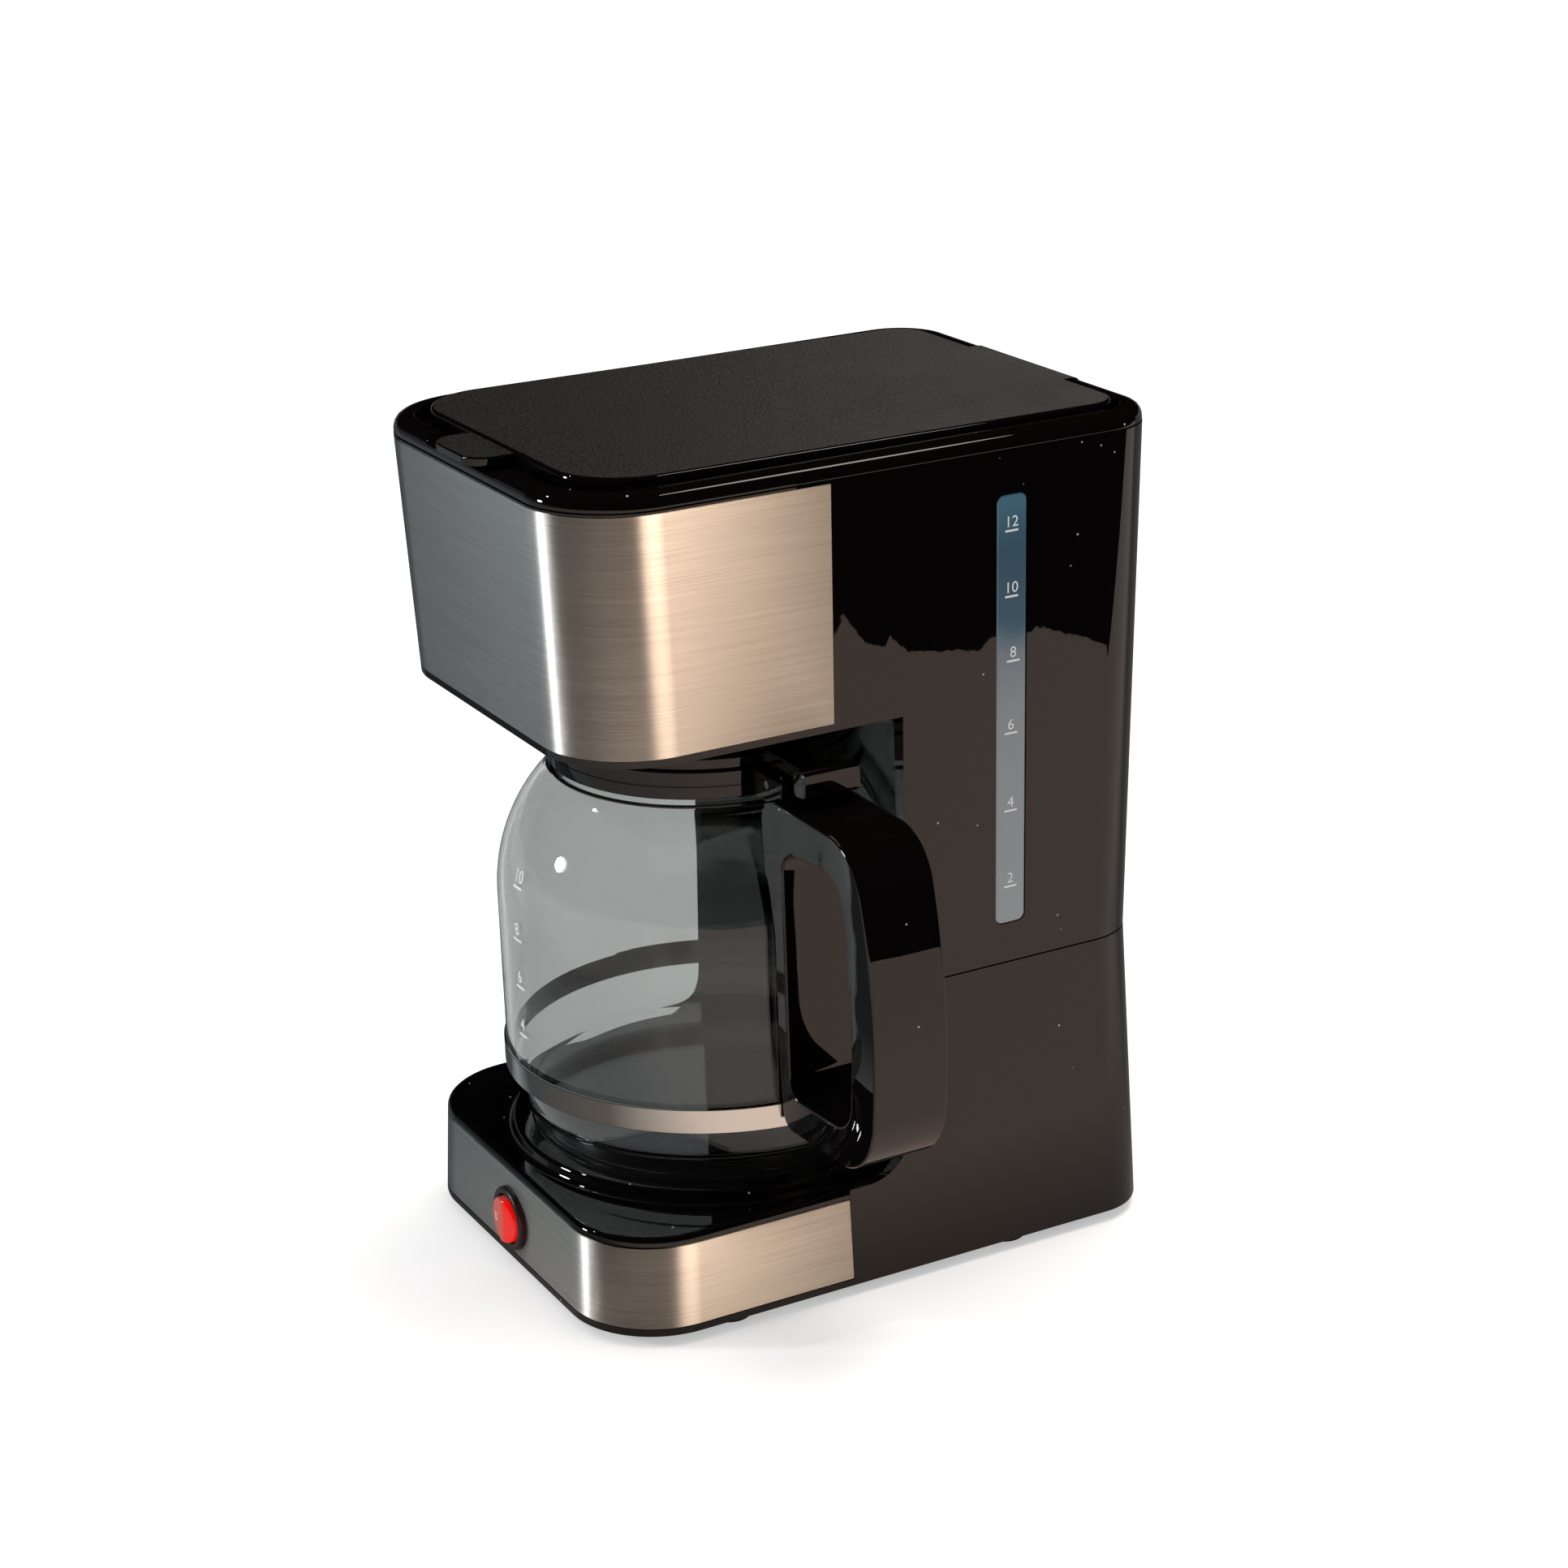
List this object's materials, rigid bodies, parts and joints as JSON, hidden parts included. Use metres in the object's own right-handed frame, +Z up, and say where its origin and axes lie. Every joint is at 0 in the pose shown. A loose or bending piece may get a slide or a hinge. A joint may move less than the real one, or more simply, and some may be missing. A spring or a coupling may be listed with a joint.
{
  "type": "drip coffee maker",
  "caption": "Drip coffee maker: glass carafe on a hot plate under a steel-wrapped head with a lidded brew basket, rear water tank with level window, and a lit rocker switch.",
  "frame": {"origin": "middle of the whole object's footprint, handle included, on the table under the feet", "axes": "+X towards the side with the carafe's handle and the level window, +Y towards the back, +Z up"},
  "size_m": [0.2302, 0.2356, 0.3103],
  "materials": {
    "gloss_black": "high-gloss black ABS",
    "satin_black": "fine satin grain, dark grey",
    "brushed_steel": "stainless sheet brushed along its length",
    "zinc_steel": "zinc-plated steel",
    "rubber_black": "moulded rubber",
    "plate_coating": "black non-stick coating on steel sheet",
    "silicone": "translucent silicone rubber",
    "heater_alloy": "extruded aluminium, as drawn",
    "phenolic_brown": "moulded phenolic",
    "fuse_sleeve": "varnished glass-fibre sleeve",
    "white_plastic": "natural acetal",
    "rubber_red": "moulded rubber",
    "red_lens": "lit translucent red",
    "milky_plastic": "translucent polypropylene",
    "window_plastic": "translucent, with a plain numbered scale",
    "mesh_plastic": "woven nylon mesh in a moulded frame",
    "clear_glass": "clear borosilicate glass"
  },
  "bodies": {
    "housing": {"base_skirt": "gloss_black", "lower_housing": "gloss_black", "base_deck": "gloss_black", "base_band": "brushed_steel", "bottom_cover": "satin_black", "bottom_screws": "zinc_steel", "feet": "rubber_black", "hot_plate": "plate_coating", "plate_gasket": "silicone", "heating_element": "heater_alloy", "element_bracket": "zinc_steel", "bracket_nut": "zinc_steel", "thermostat": "phenolic_brown", "thermal_fuses": "fuse_sleeve", "inlet_hose": "silicone", "outlet_hose": "silicone", "check_valve": "white_plastic", "check_ball": "rubber_red", "cord_gland": "satin_black", "switch_housing": "satin_black", "upper_housing": "gloss_black", "head_band": "brushed_steel", "top_rim": "gloss_black", "basket_holder": "satin_black", "water_tank": "milky_plastic", "level_window": "window_plastic", "riser_pipe": "white_plastic"},
    "lid": {"lid_cover": "satin_black", "lid_liner": "satin_black", "lid_hinge_rod": "zinc_steel"},
    "basket": {"filter_basket": "satin_black", "basket_spout": "satin_black", "mesh_filter": "mesh_plastic", "valve_cage": "satin_black", "valve_spring": "zinc_steel"},
    "valve": {"drip_valve": "white_plastic", "valve_seal": "silicone"},
    "carafe": {"carafe_base": "clear_glass", "carafe_glass": "clear_glass", "carafe_shoulder": "clear_glass", "neck_ring": "gloss_black", "carafe_collar": "gloss_black", "handle_band": "brushed_steel", "carafe_handle": "gloss_black", "band_screw": "zinc_steel", "carafe_lid": "gloss_black", "carafe_lid_skirt": "gloss_black", "carafe_lid_pin": "zinc_steel"},
    "rocker": {"switch_rocker": "red_lens"}
  },
  "joints": [
    {"name": "lid_hinge", "type": "hinge", "parent": "housing", "child": "lid", "pos_m": [-0.02888, 0.11174, 0.305], "axis": [-1, 0, 0], "range_deg": [0, 95]},
    {"name": "basket_lift", "type": "slide", "parent": "housing", "child": "basket", "axis": [0, 0, 1], "range_m": [0, 0.06]},
    {"name": "valve_drop", "type": "slide", "parent": "basket", "child": "valve", "axis": [0, 0, 1], "range_m": [-0.004, 0], "deforming": ["valve_spring"]},
    {"name": "carafe_slide", "type": "slide", "parent": "housing", "child": "carafe", "axis": [0, -1, 0], "range_m": [0, 0.2]},
    {"name": "switch_rock", "type": "hinge", "parent": "housing", "child": "rocker", "pos_m": [-0.02888, -0.11178, 0.02], "axis": [0, 0, -1], "range_deg": [0, 8]}
  ],
  "couplings": [
    {"joint": "basket_lift", "follows": "lid_hinge", "m_per_rad": 0.036},
    {"joint": "valve_drop", "follows": "carafe_slide", "ratio": -0.02}
  ]
}
